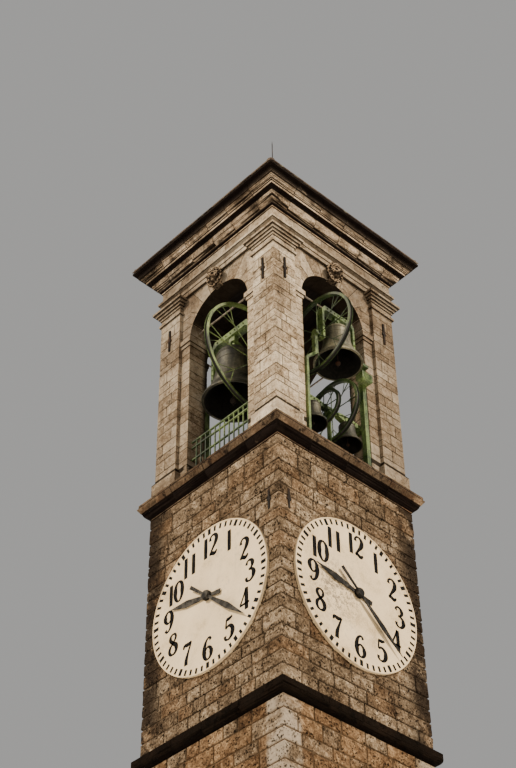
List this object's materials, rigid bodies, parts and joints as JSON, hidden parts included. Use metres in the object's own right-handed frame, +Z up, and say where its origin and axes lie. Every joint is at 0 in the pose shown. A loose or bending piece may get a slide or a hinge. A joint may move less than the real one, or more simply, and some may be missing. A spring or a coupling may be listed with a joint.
{
  "type": "bell tower",
  "caption": "Square stone bell tower with a clock stage, an arched open belfry with swinging bells, and a bracketed crowning cornice under a low hipped roof.",
  "frame": {"origin": "on the ground at the centre of the square plan", "axes": "+Z up; the clock faces look along -Y and +X"},
  "size_m": [4.6825, 4.523, 31.25],
  "materials": {
    "stone_rough": "rough",
    "stone_light": "rough",
    "stone_dark": "rough",
    "roofing": "rough",
    "green_paint": "satin",
    "bronze": "weathered",
    "iron": "dark",
    "dial_white": "matt",
    "hand_dark": "satin",
    "door_wood": "weathered"
  },
  "bodies": {
    "tower": {"ground_slab": "stone_dark", "lower_walls_side": "stone_rough", "lower_wall_back": "stone_rough", "lower_wall_jambs": "stone_rough", "lower_wall_over_door": "stone_rough", "door_leaf": "door_wood", "base_course": "stone_dark", "string_course": "stone_dark", "clock_walls_side": "stone_rough", "clock_walls_front": "stone_rough", "sill_cornice": "stone_dark", "belfry_floor": "stone_rough", "corner_piers": "stone_light", "arch_walls": "stone_light", "pilaster_plinths": "stone_light", "capitals": "stone_light", "imposts": "stone_light", "keystones": "stone_light", "architrave": "stone_light", "frieze": "stone_light", "cornice": "stone_dark", "belfry_ceiling": "stone_rough", "roof": "roofing", "lightning_rod": "iron", "tie_anchors": "iron", "tie_rods": "iron", "dial_front": "dial_white", "dial_side": "dial_white", "clock_arbors": "hand_dark", "frame_posts_front": "green_paint", "frame_post_near": "green_paint", "frame_post_far": "green_paint", "frame_post_middle": "green_paint", "bearings": "iron", "motor_box": "green_paint", "railing": "green_paint"},
    "bell_a_swinging": {"headstock_a": "green_paint", "bell_a": "bronze", "wheel_a": "green_paint"},
    "clapper_a_swinging": {"clapper_a": "iron"},
    "bell_b_swinging": {"headstock_b": "green_paint", "bell_b": "bronze", "wheel_b": "green_paint"},
    "clapper_b_swinging": {"clapper_b": "iron"},
    "bell_c_swinging": {"headstock_c": "green_paint", "bell_c": "bronze", "wheel_c": "green_paint"},
    "clapper_c_swinging": {"clapper_c": "iron"},
    "bell_d_swinging": {"headstock_d": "green_paint", "bell_d": "bronze", "wheel_d": "green_paint"},
    "clapper_d_swinging": {"clapper_d": "iron"},
    "hour_hand_front_turning": {"hour_hand_front": "hand_dark"},
    "minute_hand_front_turning": {"minute_hand_front": "hand_dark"},
    "hour_hand_side_turning": {"hour_hand_side": "hand_dark"},
    "minute_hand_side_turning": {"minute_hand_side": "hand_dark"}
  },
  "joints": [
    {"name": "bell_a_swing", "type": "hinge", "parent": "tower", "child": "bell_a_swinging", "pos_m": [-0.153, -1.054, 23.27], "axis": [1, 0, 0], "range_deg": [-85, 85]},
    {"name": "clapper_a_swing", "type": "hinge", "parent": "bell_a_swinging", "child": "clapper_a_swinging", "pos_m": [-0.153, -1.054, 23.80775], "axis": [1, 0, 0], "range_deg": [-22, 22]},
    {"name": "bell_b_swing", "type": "hinge", "parent": "tower", "child": "bell_b_swinging", "pos_m": [1.618, 0.051, 23.58], "axis": [0, 1, 0], "range_deg": [-85, 85]},
    {"name": "clapper_b_swing", "type": "hinge", "parent": "bell_b_swinging", "child": "clapper_b_swinging", "pos_m": [1.618, 0.051, 23.9194], "axis": [0, 1, 0], "range_deg": [-22, 22]},
    {"name": "bell_c_swing", "type": "hinge", "parent": "tower", "child": "bell_c_swinging", "pos_m": [1.394, -0.47005, 22.03], "axis": [0, 1, 0], "range_deg": [-85, 85]},
    {"name": "clapper_c_swing", "type": "hinge", "parent": "bell_c_swinging", "child": "clapper_c_swinging", "pos_m": [1.394, -0.47005, 21.88002], "axis": [0, 1, 0], "range_deg": [-22, 22]},
    {"name": "bell_d_swing", "type": "hinge", "parent": "tower", "child": "bell_d_swinging", "pos_m": [1.394, 0.4335, 22.03], "axis": [0, 1, 0], "range_deg": [-85, 85]},
    {"name": "clapper_d_swing", "type": "hinge", "parent": "bell_d_swinging", "child": "clapper_d_swinging", "pos_m": [1.394, 0.4335, 21.87856], "axis": [0, 1, 0], "range_deg": [-22, 22]},
    {"name": "minute_front", "type": "hinge", "parent": "tower", "child": "minute_hand_front_turning", "pos_m": [0, -1.7, 17.703], "axis": [0, 1, 0], "continuous": true},
    {"name": "hour_front", "type": "hinge", "parent": "tower", "child": "hour_hand_front_turning", "pos_m": [0, -1.7, 17.703], "axis": [0, 1, 0], "continuous": true},
    {"name": "minute_side", "type": "hinge", "parent": "tower", "child": "minute_hand_side_turning", "pos_m": [1.7, 0.045, 17.683], "axis": [-1, 0, 0], "continuous": true},
    {"name": "hour_side", "type": "hinge", "parent": "tower", "child": "hour_hand_side_turning", "pos_m": [1.7, 0.045, 17.683], "axis": [-1, 0, 0], "continuous": true}
  ],
  "couplings": [
    {"joint": "hour_front", "follows": "minute_front", "ratio": 0.083333},
    {"joint": "hour_side", "follows": "minute_side", "ratio": 0.083333}
  ]
}
